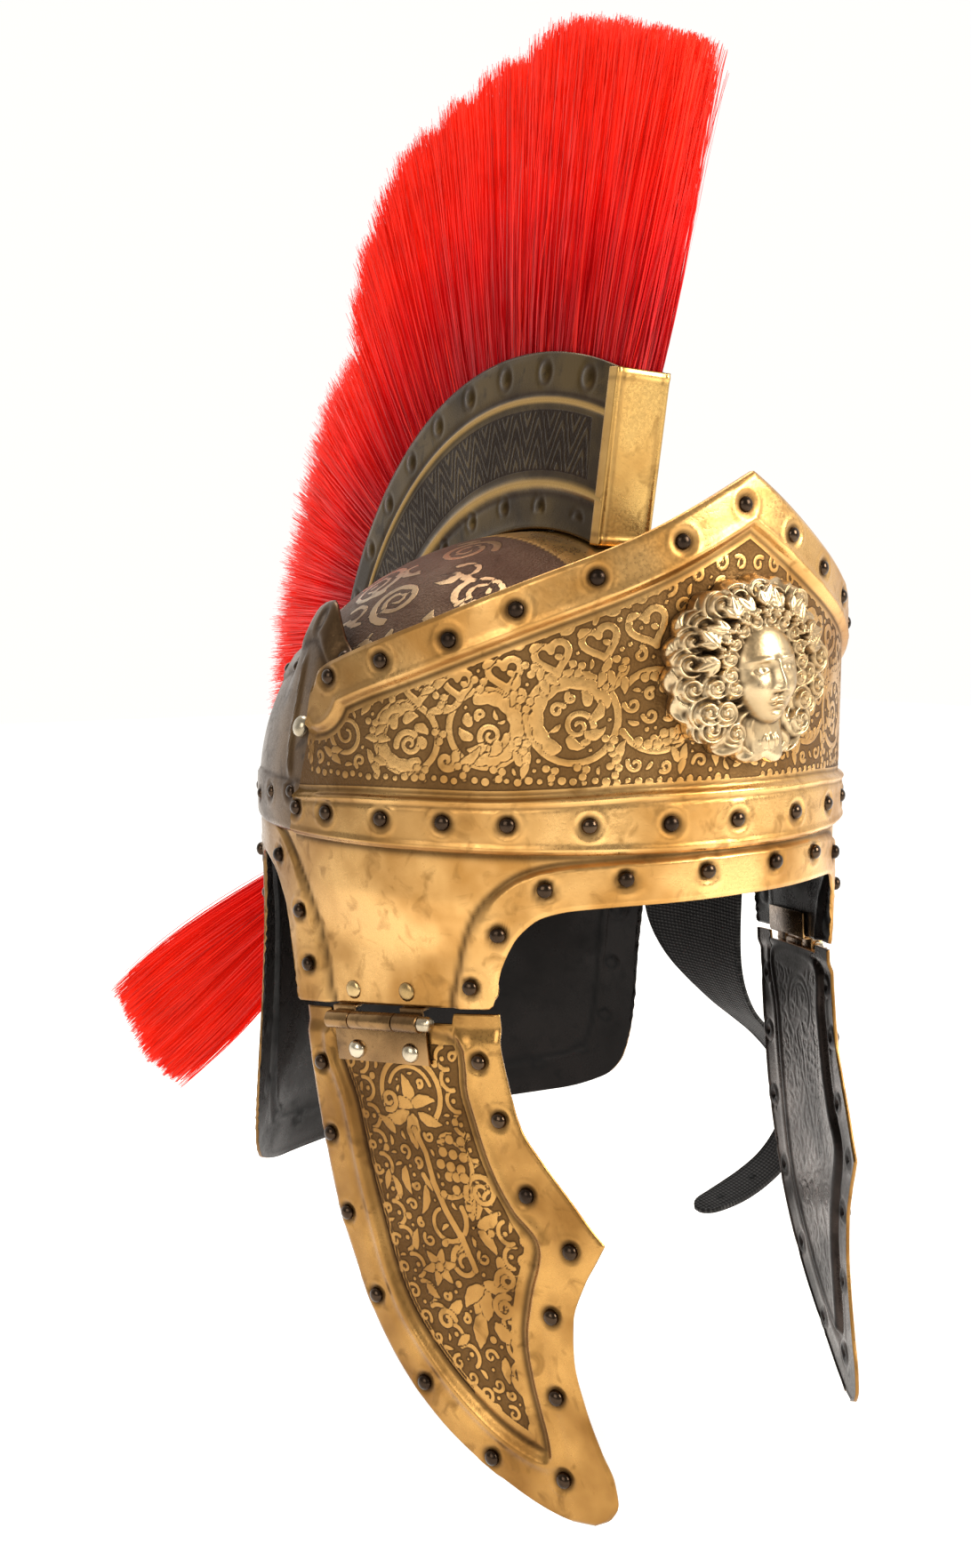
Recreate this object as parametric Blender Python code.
"""Roman praetorian helmet: brass skull, plates, hinged cheek guards, crest box and plume.

The helmet faces -Y and the wearer's right is -X. The origin is inside the crown, where the
head bears. Heights named in this file count from the rivet line of the brow plate's lower band.
Angles round the helmet are degrees from the front towards the wearer's right.
"""

import math

import bpy
import bmesh
from mathutils import Matrix, Vector

# skull
HALF_LENGTH = 0.1230
HALF_WIDTH = 0.1147
DOME_HEIGHT = 0.1040
SHEET = 0.0012
PLATE = 0.0010
CLEARANCE = 0.0003
PLATE_SEAT = 0.0005
RIM_DROP = 0.0260
TAB_FRONT_DROP = 0.0620
TAB_REAR_DROP = 0.0730
EAR_ARCH_DROP = 0.0230
NECK_DROP = 0.1930
NECK_FLARE = 0.0150
FLARE_START = 0.0300
TAB_FRONT_ANGLE = 43.5
TAB_REAR_ANGLE = 85.5
TAB_FLATNESS = 0.30

# brow plate and rear plate
BROW_PEAK = 0.1150
BROW_END_ANGLE = 83.5
BAND_BOTTOM = -0.0095
REAR_PLATE_TOP = 0.0630
REAR_PLATE_START = 66.0

# crest box, measured in the helmet's middle plane
CREST_RADIUS = 0.1860
CREST_CENTRE_BACK = 0.0105
CREST_CENTRE_DROP = 0.0124
CREST_FRONT_ANGLE = 114.2
CREST_REAR_ANGLE = -8.0
CREST_FOOT_ANGLE = 64.3
CREST_HALF_WIDTH = 0.0111
CREST_WALL = 0.0012
CREST_REAR_DROP = 0.0300

# plume
PLUME_LENGTH = 0.1200
PLUME_TIP_HALF_WIDTH = 0.0110
PLUME_ROOT_DEPTH = 0.0150
LOCK_STEP = 0.0095
TAIL_ROOT_HALF_HEIGHT = 0.0095
TAIL_END_HALF_HEIGHT = 0.0330
TAIL_HALF_THICKNESS = 0.0140
TAIL_LENGTH = 0.1900
TAIL_BEND = (-0.26, 0.10, -0.26)
TAIL_SWEEP = (-0.66, 0.18, -0.60)

# medallion
MEDALLION_HALF_WIDTH = 0.0345
MEDALLION_HALF_HEIGHT = 0.0325
MEDALLION_LEVEL = 0.0505
MEDALLION_EDGE = 0.0045
MEDALLION_RELIEF = 0.0130

# cheek guards
GUARD_LENGTH = 0.1750
GUARD_WIDTH = 0.0900
GUARD_TOP_GAP = 0.0022
GUARD_SHEET = 0.0012

# hinges and rivets
LEAF = 0.0010
KNUCKLE_RADIUS = 0.00325
PIN_RADIUS = 0.0012
BORE_RADIUS = 0.0015
AXIS_DROP = 0.0050
HINGE_START = 0.0190
HINGE_SPLITS = (0.0110, 0.0310, 0.0420)
PIN_HEAD_RADIUS = 0.0026
PIN_HEAD_LENGTH = 0.0048
UPPER_LEAF_RISE = 0.0100
LOWER_LEAF_DROP = 0.0205
RIVET_SHANK = 0.0014
FLAT_RIVET_RADIUS = 0.0031
DOMED_RIVET_RADIUS = 0.0034
UPPER_RIVET_RISE = 0.0050
LOWER_RIVET_DROP = 0.0162
SIDE_RIVET_ANGLE = 85.4
SIDE_RIVET_LEVEL = 0.0282
SIDE_RIVET_RADIUS = 0.0042
FLAT_CROWN = 0.0008
DOMED_CROWN = 0.0022
SIDE_CROWN = 0.0024
RIVET_TAIL = 0.0007
HOLE_REACH = 0.0080
NOTCH_SIDE = 0.0030

# chin straps
LEATHER = 0.0020
STRAP_SEAT = 0.0009
STRAP_WIDTH = 0.0190
STRAP_FLAP_WIDTH = 0.0640
STRAP_DROP = 0.2110
STRAP_TOP_RISE = 0.0090
STRAP_HELD_DROP = 0.0040
BUCKLE_BAR = 0.0022

# heights count from the band line, which lies this far below the origin
BAND_LINE = -(DOME_HEIGHT - SHEET)

# Lower edge of the skull, from the front to the back: angle, the drop it follows, share of it
SKULL_EDGE = (
    (0.0, RIM_DROP, 1.00),
    (20.0, RIM_DROP, 1.03),
    (30.0, RIM_DROP, 1.08),
    (35.0, RIM_DROP, 1.17),
    (39.0, RIM_DROP, 1.42),
    (41.7, TAB_FRONT_DROP, 0.77),
    (TAB_FRONT_ANGLE, TAB_FRONT_DROP, 1.00),
    (TAB_REAR_ANGLE, TAB_REAR_DROP, 1.00),
    (87.0, TAB_REAR_DROP, 0.81),
    (90.3, TAB_REAR_DROP, 0.52),
    (97.0, EAR_ARCH_DROP, 1.12),
    (104.0, EAR_ARCH_DROP, 1.00),
    (110.0, EAR_ARCH_DROP, 1.16),
    (116.0, EAR_ARCH_DROP, 1.90),
    (119.5, NECK_DROP, 0.33),
    (121.5, NECK_DROP, 0.48),
    (123.0, NECK_DROP, 0.66),
    (124.6, NECK_DROP, 0.78),
    (127.0, NECK_DROP, 0.86),
    (131.0, NECK_DROP, 0.91),
    (142.0, NECK_DROP, 0.96),
    (160.0, NECK_DROP, 0.99),
    (180.0, NECK_DROP, 1.00),
)

# Top edge of the brow plate: angle, share of the peak's height
BROW_TOP = (
    (0.0, 1.00),
    (20.0, 0.81),
    (40.0, 0.67),
    (60.0, 0.535),
    (70.0, 0.472),
    (74.5, 0.435),
    (76.2, 0.385),
    (78.0, 0.27),
    (81.0, 0.12),
    (BROW_END_ANGLE, 0.00),
)

# Top edge of the rear plate: angle, share of its greatest height
REAR_TOP = (
    (REAR_PLATE_START, 0.62),
    (74.0, 0.80),
    (82.0, 0.93),
    (88.0, 1.00),
    (96.0, 0.97),
    (110.0, 0.88),
    (135.0, 0.78),
    (180.0, 0.74),
)

# Bristle fan: share along the crest, length as a share of PLUME_LENGTH, lean from upright
FRONT_FAN = (
    (0.004, 0.85, -20.0),
    (0.09, 0.94, -11.0),
    (0.154, 0.99, -7.0),
    (0.22, 0.99, 2.0),
    (0.29, 1.03, 13.0),
    (0.36, 1.11, 25.0),
    (0.42, 1.00, 32.0),
    (0.46, 0.90, 35.5),
    (0.480, 0.76, 37.5),
)
REAR_FAN = (
    (0.4835, 0.74, 38.0),
    (0.50, 0.76, 42.0),
    (0.53, 0.81, 49.0),
    (0.60, 0.84, 62.0),
    (0.655, 0.88, 74.0),
    (0.70, 0.95, 85.0),
    (0.80, 0.96, 99.0),
    (0.90, 0.92, 111.0),
    (0.975, 0.88, 121.0),
)

# Cheek guard: distance down as a share of GUARD_LENGTH, rear and front edge as shares of GUARD_WIDTH
GUARD_ROWS = (
    (0.0, 0.03, 1.00),
    (0.055, 0.03, 1.00),
    (0.13, 0.035, 1.015),
    (0.22, 0.045, 1.05),
    (0.29, 0.06, 1.13),
    (0.36, 0.075, 1.225),
    (0.41, 0.09, 1.29),
    (0.44, 0.10, 1.335),
    (0.47, 0.115, 1.30),
    (0.52, 0.145, 1.24),
    (0.595, 0.195, 1.18),
    (0.68, 0.27, 1.165),
    (0.765, 0.375, 1.19),
    (0.85, 0.53, 1.235),
    (0.91, 0.69, 1.275),
    (0.95, 0.83, 1.28),
    (0.982, 0.97, 1.245),
    (1.0, 1.09, 1.18),
)

# Left chin strap: share of STRAP_DROP, share of HALF_WIDTH sideways, share of HALF_LENGTH back,
# width as a share of STRAP_FLAP_WIDTH
LEFT_STRAP = (
    (0.00, 0.945, 0.12, 0.90),
    (0.10, 0.935, 0.15, 1.00),
    (0.24, 0.915, 0.175, 1.00),
    (0.38, 0.925, 0.175, 0.92),
    (0.48, 0.950, 0.13, 0.74),
    (0.56, 1.010, 0.05, 0.50),
    (0.63, 1.120, -0.03, 0.34),
    (0.73, 1.240, -0.070, 0.30),
    (0.84, 1.240, -0.085, 0.30),
    (0.93, 1.120, -0.070, 0.30),
    (0.98, 0.940, -0.050, 0.30),
    (1.00, 0.790, -0.035, 0.22),
    (1.005, 0.745, -0.030, 0.06),
)

# Right chin strap, the same columns
RIGHT_STRAP = (
    (0.00, 0.955, 0.00, 0.32),
    (0.08, 0.930, 0.03, 0.30),
    (0.20, 0.875, 0.04, 0.30),
    (0.34, 0.810, 0.04, 0.30),
    (0.48, 0.755, 0.04, 0.30),
    (0.60, 0.715, 0.04, 0.30),
)


def ease(value, start, end):
    """Smooth step from 0 at start to 1 at end."""
    share = min(1.0, max(0.0, (value - start) / (end - start)))
    return share * share * (3.0 - 2.0 * share)


def read_rows(rows, value, column):
    """Straight interpolation of one column in rows that are ordered by their first column."""
    for low, high in zip(rows, rows[1:]):
        if value <= high[0]:
            share = max(0.0, (value - low[0]) / (high[0] - low[0]))
            return low[column] + (high[column] - low[column]) * share
    return rows[-1][column]


def plan(angle, grow=0.0):
    """Point of the helmet's oval plan, grown outwards along its normal."""
    turn = math.radians(angle)
    point = Vector((-HALF_WIDTH * math.sin(turn), -HALF_LENGTH * math.cos(turn)))
    normal = Vector((point.x / HALF_WIDTH ** 2, point.y / HALF_LENGTH ** 2)).normalized()
    return point + normal * grow


def tab_flattening(angle, height):
    """Move in plan that makes the tab nearly flat where the hinge is riveted to it."""
    side = 1.0 if angle > 0.0 else -1.0
    if not TAB_FRONT_ANGLE < abs(angle) < TAB_REAR_ANGLE:
        return Vector((0.0, 0.0))
    rear = plan(side * TAB_REAR_ANGLE)
    along = (plan(side * TAB_FRONT_ANGLE) - rear).normalized()
    point = plan(angle)
    foot = rear + along * (point - rear).dot(along)
    amount = ease(-height, RIM_DROP, RIM_DROP + 0.3 * TAB_REAR_DROP)
    return (foot - point) * amount * (1.0 - TAB_FLATNESS)


def skin(angle, height, grow=0.0):
    """Point on the skull's outer face, moved outwards by grow."""
    flat = plan(angle)
    if height >= 0.0:
        shrink = math.sqrt(max(0.0, 1.0 - (height / DOME_HEIGHT) ** 2))
        point = Vector((flat.x * shrink, flat.y * shrink, height))
        normal = Vector((
            point.x / HALF_WIDTH ** 2,
            point.y / HALF_LENGTH ** 2,
            height / DOME_HEIGHT ** 2,
        )).normalized()
    else:
        depth = max(0.0, (-height - FLARE_START) / (NECK_DROP - FLARE_START))
        flare = NECK_FLARE * depth ** 1.4 * ease(abs(angle), 88.0, 120.0)
        moved = plan(angle, flare) + tab_flattening(angle, height)
        point = Vector((moved.x, moved.y, height))
        normal = (plan(angle, 1.0) - flat).to_3d().normalized()
    return point + normal * grow + Vector((0.0, 0.0, BAND_LINE))


def new_object(name, mesh, paint):
    """Link a mesh to the scene as a named piece."""
    piece = bpy.data.objects.new(name, mesh)
    bpy.context.collection.objects.link(piece)
    mesh.name = name
    mesh.materials.clear()
    mesh.materials.append(paint)
    return piece


def material(name, colour, roughness, metallic):
    """Plain material of one piece."""
    paint = bpy.data.materials.new(name)
    paint.use_nodes = True
    shader = paint.node_tree.nodes["Principled BSDF"]
    shader.inputs["Base Color"].default_value = (*colour, 1.0)
    shader.inputs["Roughness"].default_value = roughness
    shader.inputs["Metallic"].default_value = metallic
    return paint


def mesh_from(shape, smooth_angle=40.0):
    """Turn a bmesh into a mesh, smooth up to the given angle."""
    mesh = bpy.data.meshes.new("piece")
    shape.to_mesh(mesh)
    shape.free()
    mesh.shade_smooth()
    mesh.set_sharp_from_angle(angle=math.radians(smooth_angle))
    return mesh


def grid_shape(points, close=False):
    """Faces between the rows of points; close joins the last column to the first."""
    shape = bmesh.new()
    rows = [[shape.verts.new(point) for point in row] for row in points]
    count = len(rows[0])
    last = count if close else count - 1
    for upper, lower in zip(rows, rows[1:]):
        for i in range(last):
            j = (i + 1) % count
            shape.faces.new((upper[i], upper[j], lower[j], lower[i]))
    bmesh.ops.remove_doubles(shape, verts=shape.verts, dist=1e-7)
    return shape


def thicken(piece, thickness):
    """Give a sheet its wall, inwards from the face that was drawn."""
    wall = piece.modifiers.new("wall", "SOLIDIFY")
    wall.thickness = thickness
    wall.offset = -1.0
    wall.use_even_offset = True


def prism(rows):
    """Closed solid through four-cornered sections, with flat ends."""
    shape = bmesh.new()
    rings = [[shape.verts.new(corner) for corner in row] for row in rows]
    for first, second in zip(rings, rings[1:]):
        for i in range(len(first)):
            j = (i + 1) % len(first)
            shape.faces.new((first[i], first[j], second[j], second[i]))
    shape.faces.new(list(reversed(rings[0])))
    shape.faces.new(rings[-1])
    bmesh.ops.recalc_face_normals(shape, faces=shape.faces)
    return shape


def turned(profile, sides):
    """Solid of revolution about Z from (radius, height) points that start and end on the axis."""
    shape = bmesh.new()
    previous = None
    for radius, height in profile:
        vertex = shape.verts.new((radius, 0.0, height))
        if previous is not None:
            shape.edges.new((previous, vertex))
        previous = vertex
    bmesh.ops.spin(
        shape,
        geom=shape.verts[:] + shape.edges[:],
        cent=(0.0, 0.0, 0.0),
        axis=(0.0, 0.0, 1.0),
        angle=math.tau,
        steps=sides,
        use_merge=True,
    )
    bmesh.ops.remove_doubles(shape, verts=shape.verts, dist=1e-7)
    bmesh.ops.recalc_face_normals(shape, faces=shape.faces)
    return shape


def cylinder(radius, start, end, sides=12):
    """Closed cylinder along X."""
    shape = turned(((0.0, start), (radius, start), (radius, end), (0.0, end)), sides)
    bmesh.ops.transform(shape, matrix=Matrix.Rotation(math.radians(90.0), 4, "Y"), verts=shape.verts)
    return shape


def block(low, high):
    """Box between two corners."""
    shape = bmesh.new()
    size = Vector(high) - Vector(low)
    middle = (Vector(high) + Vector(low)) / 2.0
    bmesh.ops.create_cube(shape, size=1.0, matrix=Matrix.Translation(middle) @ Matrix.Diagonal((*size, 1.0)))
    return shape


def moved(shape, matrix):
    """The same shape after a transform."""
    bmesh.ops.transform(shape, matrix=matrix, verts=shape.verts)
    return shape


def guide(name, shape):
    """Hidden solid that joins or cuts another piece."""
    mesh = bpy.data.meshes.new(name)
    shape.to_mesh(mesh)
    shape.free()
    helper = bpy.data.objects.new(name, mesh)
    bpy.context.collection.objects.link(helper)
    helper.hide_render = True
    helper.display_type = "WIRE"
    return helper


def combine(piece, shape, operation):
    """Join or cut a piece with another closed shape."""
    step = piece.modifiers.new(operation.lower(), "BOOLEAN")
    step.operation = operation
    step.solver = "EXACT"
    step.object = guide(piece.name + "_" + operation.lower(), shape)


def finish(piece):
    """Replace the piece's mesh by what its modifiers make of it."""
    graph = bpy.context.evaluated_depsgraph_get()
    mesh = bpy.data.meshes.new_from_object(piece.evaluated_get(graph))
    for step in list(piece.modifiers):
        helper = step.object if step.type == "BOOLEAN" else None
        piece.modifiers.remove(step)
        if helper:
            bpy.data.objects.remove(helper)
    piece.data = mesh


def mirror_of(piece, name, paint):
    """Left-hand copy of a finished right-hand piece."""
    mesh = piece.data.copy()
    mesh.transform(Matrix.Diagonal((-1.0, 1.0, 1.0, 1.0)))
    mesh.flip_normals()
    twin = new_object(name, mesh, paint)
    twin.location = Vector((-piece.location.x, piece.location.y, piece.location.z))
    return twin


def spread_angles(rows, widest):
    """Angles of the rows, with more between those that lie far apart."""
    angles = [rows[0][0]]
    for low, high in zip(rows, rows[1:]):
        count = max(1, math.ceil((high[0] - low[0]) / widest))
        angles += [low[0] + (high[0] - low[0]) * (i + 1) / count for i in range(count)]
    return angles


def both_sides(angles):
    """The same angles on the left as on the right, front one once."""
    return [-angle for angle in reversed(angles) if angle > 0.0] + list(angles)


def rivet_place(angle, level, grow):
    """Matrix whose Z points out of the helmet's wall."""
    point = skin(angle, level, grow)
    outwards = (skin(angle, level, PLATE) - skin(angle, level)).normalized()
    return Matrix.Translation(point) @ outwards.to_track_quat("Z", "Y").to_matrix().to_4x4()


def hinge_frame():
    """Frame of the right hinge: X along the pin to the front, Y inwards, Z up, origin on the axis."""
    rear = skin(TAB_REAR_ANGLE, -TAB_REAR_DROP)
    front = skin(TAB_FRONT_ANGLE, -TAB_FRONT_DROP)
    along = (front - rear).normalized()
    inwards = Vector((0.0, 0.0, 1.0)).cross(along).normalized()
    upwards = along.cross(inwards)
    frame = Matrix((along, inwards, upwards)).transposed().to_4x4()
    frame.translation = rear
    return frame


def tab_width():
    """Length of the tab's straight lower edge."""
    rear = skin(TAB_REAR_ANGLE, -TAB_REAR_DROP)
    return (skin(TAB_FRONT_ANGLE, -TAB_FRONT_DROP) - rear).length


def bulge():
    """How far the flattened tab still stands out at the middle of its lower edge."""
    middle = 0.5 * (TAB_FRONT_ANGLE + TAB_REAR_ANGLE)
    local = hinge_frame().inverted() @ skin(middle, -0.5 * (TAB_FRONT_DROP + TAB_REAR_DROP))
    return -local.y


def axis_out():
    """Distance of the pin's axis outside the line between the tab's corners."""
    return bulge() + CLEARANCE + KNUCKLE_RADIUS


def build_skull(paint):
    """Raised bowl, rim, tabs, ear arches and neck guard in one sheet."""
    angles = both_sides(spread_angles(SKULL_EDGE, 9.0))[1:]
    drops = [(row[0], row[1] * row[2]) for row in SKULL_EDGE]
    points = []
    for elevation in (90.0, 72.0, 55.0, 40.0, 27.0, 17.0, 7.0, 0.0):
        height = DOME_HEIGHT * math.sin(math.radians(elevation))
        points.append([skin(angle, height) for angle in angles])
    for share in (0.22, 0.5, 0.75, 1.0):
        points.append([skin(angle, -share * read_rows(drops, abs(angle), 1)) for angle in angles])
    skull = new_object("skull", mesh_from(grid_shape(points, close=True)), paint)
    thicken(skull, SHEET)
    for side in (1.0, -1.0):
        place = rivet_place(side * SIDE_RIVET_ANGLE, SIDE_RIVET_LEVEL, 0.0)
        combine(skull, hole_shape(place), "DIFFERENCE")
    for along in rivet_steps():
        for side in (1.0, -1.0):
            shape = hole_shape(hinge_rivet_place(along, UPPER_RIVET_RISE, 0.0))
            if side < 0.0:
                shape = moved(shape, Matrix.Diagonal((-1.0, 1.0, 1.0, 1.0)))
                bmesh.ops.reverse_faces(shape, faces=shape.faces)
            combine(skull, shape, "DIFFERENCE")
    finish(skull)
    return skull


def hole_shape(place):
    """Cutter for a rivet's hole through every sheet at one place."""
    radius = RIVET_SHANK + CLEARANCE
    shape = turned((
        (0.0, -HOLE_REACH), (radius, -HOLE_REACH), (radius, HOLE_REACH), (0.0, HOLE_REACH),
    ), 8)
    return moved(shape, place)


def rivet_steps():
    """Distances along the hinge of its two pairs of rivets."""
    length = HINGE_SPLITS[-1]
    return (HINGE_START + 0.23 * length, HINGE_START + 0.82 * length)


def hinge_rivet_place(along, rise, out):
    """Matrix at a hinge rivet, with Z pointing outwards from the tab or the guard."""
    frame = hinge_frame()
    outwards = Matrix.Rotation(math.radians(90.0), 4, "X")
    return frame @ Matrix.Translation((along, -out, rise)) @ outwards


def brow_grow(angle):
    """Outer face of the brow plate outside the skull: its ends lie over the rear plate."""
    lift = (PLATE + PLATE_SEAT) * ease(abs(angle), 52.0, REAR_PLATE_START - 2.0)
    return CLEARANCE + PLATE + lift


def brow_point(angle, height, grow=0.0):
    """Point on the outer face of the upright brow plate."""
    flat = plan(angle, brow_grow(angle) + grow)
    return Vector((flat.x, flat.y, BAND_LINE + height))


def build_brow_plate(paint):
    """Upright peaked plate round the front half."""
    angles = both_sides(spread_angles(BROW_TOP, 7.0))
    points = []
    for share in (1.0, 0.8, 0.55, 0.3, 0.0):
        row = []
        for angle in angles:
            top = BROW_PEAK * read_rows(BROW_TOP, abs(angle), 1)
            row.append(brow_point(angle, BAND_BOTTOM + (top - BAND_BOTTOM) * share))
        points.append(row)
    plate = new_object("brow_plate", mesh_from(grid_shape(points)), paint)
    thicken(plate, PLATE)
    finish(plate)
    return plate


def build_rear_plate(paint):
    """Plate round the back that follows the dome, pointed at each side."""
    right = spread_angles(REAR_TOP, 7.0)
    angles = right + [360.0 - angle for angle in reversed(right[:-1])]
    points = []
    rows = 6
    for level in range(rows + 1):
        share = 1.0 - level / rows
        row = []
        for angle in angles:
            turn = angle if angle <= 180.0 else angle - 360.0
            top = REAR_PLATE_TOP * read_rows(REAR_TOP, abs(turn), 1)
            height = BAND_BOTTOM + (top - BAND_BOTTOM) * share
            row.append(skin(turn, height, PLATE_SEAT + PLATE))
        points.append(row)
    plate = new_object("rear_plate", mesh_from(grid_shape(points)), paint)
    thicken(plate, PLATE)
    for side in (1.0, -1.0):
        place = rivet_place(side * SIDE_RIVET_ANGLE, SIDE_RIVET_LEVEL, 0.0)
        combine(plate, hole_shape(place), "DIFFERENCE")
    finish(plate)
    return plate


def crest_outer(share, grow=0.0):
    """Point of the crest's round outer edge, in the middle plane."""
    turn = math.radians(CREST_FRONT_ANGLE + (CREST_REAR_ANGLE - CREST_FRONT_ANGLE) * share)
    radius = CREST_RADIUS + grow
    return Vector((
        0.0,
        CREST_CENTRE_BACK + radius * math.cos(turn),
        BAND_LINE - CREST_CENTRE_DROP + radius * math.sin(turn),
    ))


def crest_inner(share, grow=0.0):
    """Point of the crest's foot, which follows the dome and the rear plate."""
    crown = 0.85
    seat = CLEARANCE + grow
    if share <= crown:
        turn = CREST_FOOT_ANGLE + (180.0 - CREST_FOOT_ANGLE) * share / crown
        height = DOME_HEIGHT * math.sin(math.radians(turn))
        seat += (PLATE + PLATE_SEAT) * ease(turn, 128.0, 148.0)
        return skin(0.0 if turn < 90.0 else 180.0, height, seat)
    drop = CREST_REAR_DROP * (share - crown) / (1.0 - crown)
    return skin(180.0, -drop, seat + PLATE + PLATE_SEAT)


def crest_sections(half_width, foot, top, start, end, count):
    """Four-cornered sections of the crest between two shares of its length."""
    rows = []
    for i in range(count + 1):
        share = start + (end - start) * i / count
        inner = crest_inner(share, foot)
        outer = crest_outer(share, top)
        side = Vector((half_width, 0.0, 0.0))
        rows.append((inner - side, inner + side, outer + side, outer - side))
    return rows


def crest_length():
    """Length of the crest's outer edge."""
    return CREST_RADIUS * math.radians(CREST_FRONT_ANGLE - CREST_REAR_ANGLE)


def build_crest_box(paint):
    """Sheet box, open along its outer edge where the bristles come out."""
    body = prism(crest_sections(CREST_HALF_WIDTH, 0.0, 0.0, 0.0, 1.0, 24))
    crest = new_object("crest_box", mesh_from(body), paint)
    wall = CREST_WALL / crest_length()
    room = prism(crest_sections(
        CREST_HALF_WIDTH - CREST_WALL, CREST_WALL, 5.0 * CREST_WALL, wall, 1.0 - wall, 24))
    combine(crest, room, "DIFFERENCE")
    finish(crest)
    return crest


def build_fan(name, rows, paint):
    """Bristles in upright locks on one backing that sits in the crest box."""
    start, end = rows[0][0], rows[-1][0]
    inset = (CREST_WALL + CLEARANCE) / crest_length()
    start = max(start, inset)
    end = min(end, 1.0 - inset)
    locks = max(4, round((end - start) * crest_length() / LOCK_STEP))
    columns = 2 * locks + 1
    seat = CREST_HALF_WIDTH - CREST_WALL - CLEARANCE
    levels = (
        (-1.0, seat), (0.0, seat),
        (0.5, PLUME_TIP_HALF_WIDTH), (1.0, 0.80 * PLUME_TIP_HALF_WIDTH),
    )
    near = []
    far = []
    for level, half in levels:
        near_row = []
        far_row = []
        for i in range(columns):
            share = start + (end - start) * i / (columns - 1)
            lean = math.radians(read_rows(rows, share, 2))
            stagger = 1.0 + 0.025 * math.sin(2.4 * i)
            length = PLUME_LENGTH * read_rows(rows, share, 1) * (stagger if 0 < i < columns - 1 else 1.0)
            root = crest_outer(share)
            if level < 0.0:
                inner = crest_inner(share)
                point = root + (inner - root).normalized() * PLUME_ROOT_DEPTH
            else:
                point = root + Vector((0.0, math.sin(lean), math.cos(lean))) * length * level
            groove = 1.0 if i % 2 or level <= 0.0 else 0.72
            near_row.append(point - Vector((half * groove, 0.0, 0.0)))
            far_row.append(point + Vector((half * groove, 0.0, 0.0)))
        near.append(near_row)
        far.append(far_row)
    shape = closed_slab(near, far)
    return new_object(name, mesh_from(shape, 60.0), paint)


def closed_slab(near, far):
    """Solid between two facing grids of points."""
    shape = bmesh.new()
    front = [[shape.verts.new(point) for point in row] for row in near]
    back = [[shape.verts.new(point) for point in row] for row in far]
    last = len(near) - 1
    width = len(near[0]) - 1
    for r in range(last):
        for c in range(width):
            shape.faces.new((front[r][c], front[r + 1][c], front[r + 1][c + 1], front[r][c + 1]))
            shape.faces.new((back[r][c], back[r][c + 1], back[r + 1][c + 1], back[r + 1][c]))
    for c in range(width):
        shape.faces.new((front[0][c], front[0][c + 1], back[0][c + 1], back[0][c]))
        shape.faces.new((front[last][c], back[last][c], back[last][c + 1], front[last][c + 1]))
    for r in range(last):
        shape.faces.new((front[r][0], back[r][0], back[r + 1][0], front[r + 1][0]))
        shape.faces.new((front[r][width], front[r + 1][width], back[r + 1][width], back[r][width]))
    bmesh.ops.recalc_face_normals(shape, faces=shape.faces)
    return shape


def build_tail(paint):
    """Loose hank from the crest's rear end, swept to the wearer's right."""
    edge = (crest_outer(1.0) - crest_inner(1.0)).normalized()
    out_of_box = Vector((0.0, edge.z, -edge.y))
    root = crest_outer(1.0).lerp(crest_inner(1.0), 0.55) + out_of_box * CLEARANCE
    bend = root + Vector(TAIL_BEND) * TAIL_LENGTH
    tip = root + Vector(TAIL_SWEEP) * TAIL_LENGTH
    rings = []
    sides = 14
    steps = 8
    for i in range(steps + 1):
        share = i / steps
        centre = root.lerp(bend, share).lerp(bend.lerp(tip, share), share)
        ahead = (bend - root).lerp(tip - bend, share).normalized()
        ahead = out_of_box.lerp(ahead, min(1.0, share / 0.3)).normalized()
        across = Vector((0.0, 1.0, 0.0)).cross(ahead).normalized()
        deep = ahead.cross(across).normalized()
        spread = ease(share, 0.0, 0.9)
        high = TAIL_ROOT_HALF_HEIGHT + (TAIL_END_HALF_HEIGHT - TAIL_ROOT_HALF_HEIGHT) * spread
        thick = min(TAIL_HALF_THICKNESS, high) * (0.7 + 0.3 * spread)
        ring = []
        for k in range(sides):
            turn = math.tau * k / sides
            lobe = 1.0 if k % 2 else 0.86
            ring.append(centre + across * high * lobe * math.cos(turn) + deep * thick * lobe * math.sin(turn))
        rings.append(ring)
    return new_object("plume_tail", mesh_from(prism(rings), 60.0), paint)


def medallion_height(across, up):
    """Relief of the head over its ground, for places given as shares of its half size."""
    radius = math.hypot(across, up)
    turn = math.atan2(up, across)
    face = math.exp(-((across / 0.40) ** 2 + ((up + 0.08) / 0.56) ** 2) ** 2)
    nose = 0.30 * math.exp(-(across / 0.07) ** 2) * math.exp(-((up + 0.10) / 0.17) ** 2)
    brow = 0.12 * math.exp(-((up - 0.13) / 0.06) ** 2) * math.exp(-(across / 0.30) ** 2)
    eyes = -0.14 * math.exp(-((abs(across) - 0.17) / 0.08) ** 2 - ((up - 0.03) / 0.06) ** 2)
    mouth = 0.12 * math.exp(-(across / 0.12) ** 2 - ((up + 0.36) / 0.05) ** 2)
    chin = 0.12 * math.exp(-(across / 0.12) ** 2 - ((up + 0.55) / 0.09) ** 2)
    ring = math.exp(-((radius - 0.74) / 0.20) ** 2)
    curls = ring * (0.50 + 0.22 * math.cos(11.0 * turn) * math.cos(16.0 * radius))
    return 0.75 * face + nose + brow + eyes + mouth + chin + curls


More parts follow.
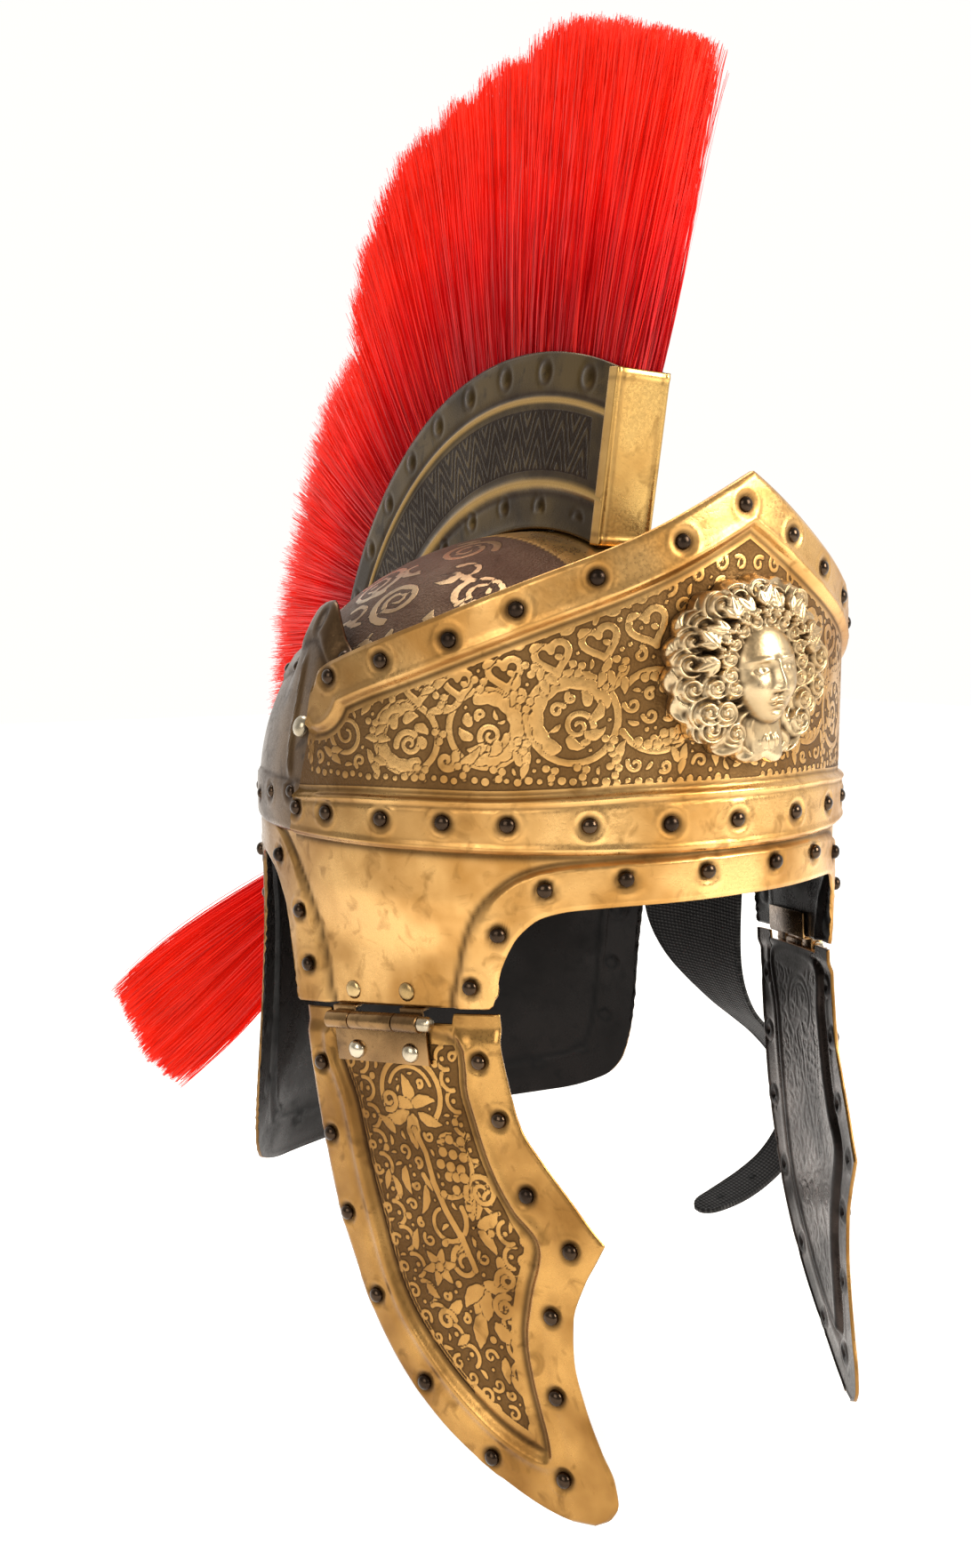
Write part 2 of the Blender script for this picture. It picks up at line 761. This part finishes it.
def build_medallion(paint):
    """Cast head with curls on a lobed outline, fixed to the brow plate."""
    spokes = 30
    rings = 8
    outer_face = []
    back_face = []
    for r in range(rings + 1):
        share = (r / rings) ** 0.85
        front_row = []
        back_row = []
        for k in range(spokes):
            turn = math.tau * k / spokes
            lobe = 0.92 + 0.05 * math.cos(9.0 * turn) + 0.03 * math.cos(14.0 * turn)
            across = share * lobe * math.cos(turn)
            up = share * lobe * math.sin(turn)
            side = across * MEDALLION_HALF_WIDTH
            angle = -math.degrees(math.asin(side / HALF_WIDTH))
            height = MEDALLION_LEVEL + up * MEDALLION_HALF_HEIGHT
            relief = MEDALLION_EDGE + MEDALLION_RELIEF * medallion_height(across, up)
            back_row.append(brow_point(angle, height, CLEARANCE))
            front_row.append(brow_point(angle, height, CLEARANCE + relief))
        outer_face.append(front_row)
        back_face.append(back_row)
    shape = bmesh.new()
    for rows, flip in ((outer_face, False), (back_face, True)):
        centre = shape.verts.new(rows[0][0])
        loops = [[shape.verts.new(point) for point in row] for row in rows[1:]]
        for k in range(spokes):
            n = (k + 1) % spokes
            shape.faces.new((centre, loops[0][k], loops[0][n]))
            for inner, outer in zip(loops, loops[1:]):
                shape.faces.new((inner[k], outer[k], outer[n], inner[n]))
        if flip:
            rim_back = loops[-1]
        else:
            rim_front = loops[-1]
    for k in range(spokes):
        n = (k + 1) % spokes
        shape.faces.new((rim_front[k], rim_back[k], rim_back[n], rim_front[n]))
    bmesh.ops.recalc_face_normals(shape, faces=shape.faces)
    return new_object("medallion", mesh_from(shape, 50.0), paint)


def guard_out(along):
    """Outward stand of the guard's outer face from the hinge line's plane."""
    half = tab_width() / 2.0
    return bulge() * (1.0 - ((along - half) / half) ** 2)


def on_axis(piece):
    """Move a moving piece's origin to the middle of the pin, keeping its shape in place."""
    frame = hinge_frame()
    middle = HINGE_START + 0.5 * HINGE_SPLITS[-1]
    point = frame @ Vector((middle, -axis_out(), -AXIS_DROP))
    piece.data.transform(Matrix.Translation(-point))
    piece.location = point
    return piece


def build_guard(paint):
    """Right cheek guard, a bent sheet cut to its spiked outline."""
    frame = hinge_frame()
    columns = 7
    points = []
    for down, rear, front in GUARD_ROWS:
        drop = GUARD_TOP_GAP + down * (GUARD_LENGTH - GUARD_TOP_GAP)
        row = []
        for i in range(columns + 1):
            along = GUARD_WIDTH * (front + (rear - front) * i / columns)
            row.append(frame @ Vector((along, -guard_out(along), -drop)))
        points.append(row)
    guard = new_object("cheek_guard_right", mesh_from(grid_shape(points)), paint)
    thicken(guard, GUARD_SHEET)
    reach = 10.0 * KNUCKLE_RADIUS
    notch = block(
        (HINGE_START - NOTCH_SIDE, -reach, -1.14 * AXIS_DROP),
        (HINGE_START + HINGE_SPLITS[-1] + PIN_HEAD_LENGTH + 2.0 * NOTCH_SIDE, reach, AXIS_DROP))
    combine(guard, moved(notch, frame), "DIFFERENCE")
    for along in rivet_steps():
        combine(guard, hole_shape(hinge_rivet_place(along, -LOWER_RIVET_DROP, 0.0)), "DIFFERENCE")
    finish(guard)
    return on_axis(guard)


def knuckle(start, end):
    """One hinge knuckle, still without its bore."""
    place = Matrix.Translation((HINGE_START, -axis_out(), -AXIS_DROP))
    half_gap = CLEARANCE / 2.0
    first = start + (half_gap if start > 0.0 else 0.0)
    return moved(cylinder(KNUCKLE_RADIUS, first, end - half_gap), place)


def cut_bore(piece, frame):
    """Drill the pin's bore through a leaf's knuckles."""
    place = Matrix.Translation((HINGE_START, -axis_out(), -AXIS_DROP))
    bore = cylinder(BORE_RADIUS, -PIN_RADIUS, HINGE_SPLITS[-1] + PIN_RADIUS, 10)
    combine(piece, moved(moved(bore, place), frame), "DIFFERENCE")


def build_upper_leaf(paint):
    """Leaf riveted inside the tab, bent out under its edge to the two outer knuckles."""
    frame = hinge_frame()
    inner = guard_out(HINGE_START) - SHEET - CLEARANCE
    plate = block(
        (HINGE_START, -inner, -0.85 * LEAF),
        (HINGE_START + HINGE_SPLITS[-1], -inner + LEAF, UPPER_LEAF_RISE))
    leaf = new_object("hinge_upper_leaf_right", mesh_from(moved(plate, frame)), paint)
    outer = axis_out() - KNUCKLE_RADIUS
    spans = ((0.0, HINGE_SPLITS[0]), (HINGE_SPLITS[1], HINGE_SPLITS[2]))
    for start, end in spans:
        low = HINGE_START + start + 0.7 * CLEARANCE
        high = HINGE_START + end - 0.7 * CLEARANCE
        shelf = block((low, -outer - 0.7 * LEAF, -1.35 * LEAF), (high, -inner + 0.5 * LEAF, -0.35 * LEAF))
        combine(leaf, moved(shelf, frame), "UNION")
        inset = 0.3 * CLEARANCE
        hanger = block(
            (low + inset, -outer - LEAF, -AXIS_DROP - 0.3 * KNUCKLE_RADIUS),
            (high - inset, -outer - 0.1 * LEAF, -0.6 * LEAF))
        combine(leaf, moved(hanger, frame), "UNION")
        combine(leaf, moved(knuckle(start, end), frame), "UNION")
    cut_bore(leaf, frame)
    for along in rivet_steps():
        combine(leaf, hole_shape(hinge_rivet_place(along, UPPER_RIVET_RISE, 0.0)), "DIFFERENCE")
    finish(leaf)
    return leaf


def build_lower_leaf(paint):
    """Leaf riveted outside the guard, with the middle knuckle."""
    frame = hinge_frame()
    outer = axis_out() - KNUCKLE_RADIUS
    start, end = HINGE_SPLITS[0], HINGE_SPLITS[1]
    reach = KNUCKLE_RADIUS + CLEARANCE
    plate = block(
        (HINGE_START, -outer - LEAF, -LOWER_LEAF_DROP),
        (HINGE_START + HINGE_SPLITS[-1], -outer - 0.1 * LEAF, -AXIS_DROP - reach))
    leaf = new_object("hinge_lower_leaf_right", mesh_from(moved(plate, frame)), paint)
    half_gap = 0.7 * CLEARANCE
    web = block(
        (HINGE_START + start + half_gap, -outer - 0.95 * LEAF, -AXIS_DROP - 1.5 * reach),
        (HINGE_START + end - half_gap, -outer - 0.15 * LEAF, -AXIS_DROP + 0.3 * KNUCKLE_RADIUS))
    combine(leaf, moved(web, frame), "UNION")
    combine(leaf, moved(knuckle(start, end), frame), "UNION")
    cut_bore(leaf, frame)
    for along in rivet_steps():
        combine(leaf, hole_shape(hinge_rivet_place(along, -LOWER_RIVET_DROP, 0.0)), "DIFFERENCE")
    finish(leaf)
    return on_axis(leaf)


def build_pin(paint):
    """Hinge pin with one round head at the front."""
    length = HINGE_SPLITS[-1]
    shape = turned((
        (0.0, -CLEARANCE),
        (PIN_RADIUS, -CLEARANCE),
        (PIN_RADIUS, length + CLEARANCE),
        (PIN_HEAD_RADIUS, length + CLEARANCE),
        (PIN_HEAD_RADIUS, length + 0.8 * PIN_HEAD_LENGTH),
        (0.7 * PIN_HEAD_RADIUS, length + PIN_HEAD_LENGTH),
        (0.0, length + PIN_HEAD_LENGTH),
    ), 12)
    turn = Matrix.Rotation(math.radians(90.0), 4, "Y")
    place = Matrix.Translation((HINGE_START, -axis_out(), -AXIS_DROP)) @ turn
    return new_object("hinge_pin_right", mesh_from(moved(shape, hinge_frame() @ place)), paint)


def rivet_shape(radius, crown, outside, inside):
    """Rivet through the layers between the heights inside and outside, its head on the outside."""
    low = outside + CLEARANCE
    foot = inside - CLEARANCE
    return turned((
        (0.0, foot - RIVET_TAIL),
        (1.5 * RIVET_SHANK, foot - RIVET_TAIL),
        (1.5 * RIVET_SHANK, foot),
        (RIVET_SHANK, foot),
        (RIVET_SHANK, low),
        (radius, low),
        (0.80 * radius, low + 0.70 * crown),
        (0.0, low + crown),
    ), 10)


def build_rivets(kind, paint):
    """Two hinge rivets of the right side, flat on the tab or domed on the guard."""
    rivets = []
    leaf_out = axis_out() - KNUCKLE_RADIUS
    for number, along in enumerate(rivet_steps(), start=1):
        face = guard_out(along)
        if kind == "flat":
            inside = guard_out(HINGE_START) - SHEET - CLEARANCE - LEAF
            shape = rivet_shape(FLAT_RIVET_RADIUS, FLAT_CROWN, face, inside)
            place = hinge_rivet_place(along, UPPER_RIVET_RISE, 0.0)
        else:
            shape = rivet_shape(DOMED_RIVET_RADIUS, DOMED_CROWN, leaf_out + LEAF, face - GUARD_SHEET)
            place = hinge_rivet_place(along, -LOWER_RIVET_DROP, 0.0)
        name = f"{kind}_rivet_{number}_right"
        rivet = new_object(name, mesh_from(moved(shape, place)), paint)
        rivets.append(on_axis(rivet) if kind == "domed" else rivet)
    return rivets


def build_side_rivet(name, side, paint):
    """Silvery rivet through rear plate, skull and strap."""
    outside = PLATE_SEAT + PLATE
    inside = -(SHEET + STRAP_SEAT + LEATHER)
    shape = rivet_shape(SIDE_RIVET_RADIUS, SIDE_CROWN, outside, inside)
    place = rivet_place(side * SIDE_RIVET_ANGLE, SIDE_RIVET_LEVEL, 0.0)
    return new_object(name, mesh_from(moved(shape, place)), paint)


def smooth_rows(rows, count):
    """Rows at even steps on a smooth curve through the given rows."""
    result = []
    spans = len(rows) - 1
    for i in range(count + 1):
        place = spans * i / count
        k = min(spans - 1, int(place))
        share = place - k
        around = [rows[min(spans, max(0, k + step))] for step in (-1, 0, 1, 2)]
        row = []
        for a, b, c, d in zip(*around):
            row.append(0.5 * (
                2.0 * b + (c - a) * share
                + (2.0 * a - 5.0 * b + 4.0 * c - d) * share ** 2
                + (3.0 * b - a - 3.0 * c + d) * share ** 3))
        result.append(row)
    return result


def build_strap(name, rows, side, paint):
    """Leather strap from its rivet inside the skull down its free route."""
    across_steps = (-0.5, -0.17, 0.17, 0.5)
    head_width = STRAP_WIDTH * 1.3
    points = []
    rivet_turn = side * SIDE_RIVET_ANGLE
    inner = -(SHEET + STRAP_SEAT)
    first_width = rows[0][3] * STRAP_FLAP_WIDTH
    top_level = SIDE_RIVET_LEVEL + STRAP_TOP_RISE
    under = -STRAP_HELD_DROP
    steps = 4
    for i in range(steps + 1):
        share = i / steps
        level = top_level + (under - top_level) * share
        width = head_width + (first_width - head_width) * ease(share, 0.3, 1.2)
        centre = rivet_turn + side * share * math.degrees(rows[0][2] + 0.08) * 0.9
        row = []
        for step in across_steps:
            turn = centre + side * math.degrees(step * width / HALF_LENGTH)
            row.append(skin(turn, level, inner))
        points.append(row)
    wall_row = points[-1]
    for index, (down, out, back, wide) in enumerate(smooth_rows(rows, 2 * (len(rows) - 1))):
        if index == 0:
            continue
        drop = max(down * STRAP_DROP, 2.5 * STRAP_HELD_DROP + 0.25 * LEATHER * index)
        row = []
        for k, step in enumerate(across_steps):
            place = back * HALF_LENGTH + step * wide * STRAP_FLAP_WIDTH
            bend = math.sqrt(1.0 - (place / HALF_LENGTH) ** 2)
            free = Vector((-side * out * HALF_WIDTH * bend, place, BAND_LINE - drop))
            hold = 1.0 - ease(drop, 0.0, 0.25 * STRAP_DROP)
            held = wall_row[k].copy()
            held.z = free.z
            row.append(free.lerp(held, hold))
        points.append(row)
    if side < 0.0:
        points = [list(reversed(row)) for row in points]
    strap = new_object(name, mesh_from(grid_shape(points)), paint)
    thicken(strap, LEATHER)
    combine(strap, hole_shape(rivet_place(rivet_turn, SIDE_RIVET_LEVEL, 0.0)), "DIFFERENCE")
    finish(strap)
    return strap, points[-1]


def build_buckle(end_row, paint):
    """Plain frame at the end of the right strap."""
    middle = sum(end_row, Vector()) / len(end_row) - Vector((0.0, 0.0, CLEARANCE))
    half = STRAP_WIDTH * 0.65
    high = 0.75 * STRAP_WIDTH
    bar = BUCKLE_BAR
    shape = block((-half - bar, -bar / 2, -high - bar), (half + bar, bar / 2, 0.0))
    place = Matrix.Translation(middle) @ Matrix.Rotation(math.radians(90.0), 4, "Z")
    buckle = new_object("strap_buckle", mesh_from(moved(shape, place)), paint)
    room = block((-half, -bar, -high), (half, bar, -bar))
    combine(buckle, moved(room, place), "DIFFERENCE")
    finish(buckle)
    return buckle


def hinge_empty(name, side):
    """Parent of everything that swings with one guard."""
    frame = hinge_frame()
    middle = HINGE_START + 0.5 * HINGE_SPLITS[-1]
    point = frame @ Vector((middle, -axis_out(), -AXIS_DROP))
    empty = bpy.data.objects.new(name, None)
    bpy.context.collection.objects.link(empty)
    empty.location = Vector((side * point.x, point.y, point.z))
    empty.empty_display_size = 0.02
    return empty


def hang(pieces, empty):
    """Parent pieces to an empty without moving them."""
    for piece in pieces:
        piece.parent = empty
        piece.matrix_parent_inverse = Matrix.Translation(-empty.location)


def build_helmet():
    """All pieces of the helmet."""
    brass = material("antique_brass", (0.62, 0.42, 0.17), 0.36, 1.0)
    dark_brass = material("dark_brass", (0.16, 0.11, 0.06), 0.45, 0.9)
    cast = material("cast_brass", (0.66, 0.56, 0.38), 0.38, 1.0)
    steel = material("bright_rivet", (0.72, 0.70, 0.66), 0.28, 1.0)
    leather = material("black_leather", (0.03, 0.027, 0.026), 0.55, 0.0)
    bristle = material("red_bristle", (0.80, 0.03, 0.03), 0.55, 0.0)

    build_skull(brass)
    build_brow_plate(brass)
    build_rear_plate(dark_brass)
    build_medallion(cast)
    build_crest_box(dark_brass)
    build_fan("plume_front", FRONT_FAN, bristle)
    build_fan("plume_rear", REAR_FAN, bristle)
    build_tail(bristle)

    fixed = [build_upper_leaf(dark_brass), build_pin(dark_brass)] + build_rivets("flat", brass)
    moving = [build_guard(brass), build_lower_leaf(dark_brass)] + build_rivets("domed", steel)
    for piece in fixed:
        mirror_of(piece, piece.name.replace("_right", "_left"), piece.data.materials[0])
    twins = [
        mirror_of(piece, piece.name.replace("_right", "_left"), piece.data.materials[0])
        for piece in moving
    ]
    hang(moving, hinge_empty("hinge_axis_right", 1.0))
    hang(twins, hinge_empty("hinge_axis_left", -1.0))

    build_side_rivet("side_rivet_right", 1.0, steel)
    build_side_rivet("side_rivet_left", -1.0, steel)
    build_strap("chin_strap_left", LEFT_STRAP, -1.0, leather)
    end_row = build_strap("chin_strap_right", RIGHT_STRAP, 1.0, leather)[1]
    build_buckle(end_row, steel)


for old in list(bpy.data.objects):
    bpy.data.objects.remove(old)
build_helmet()
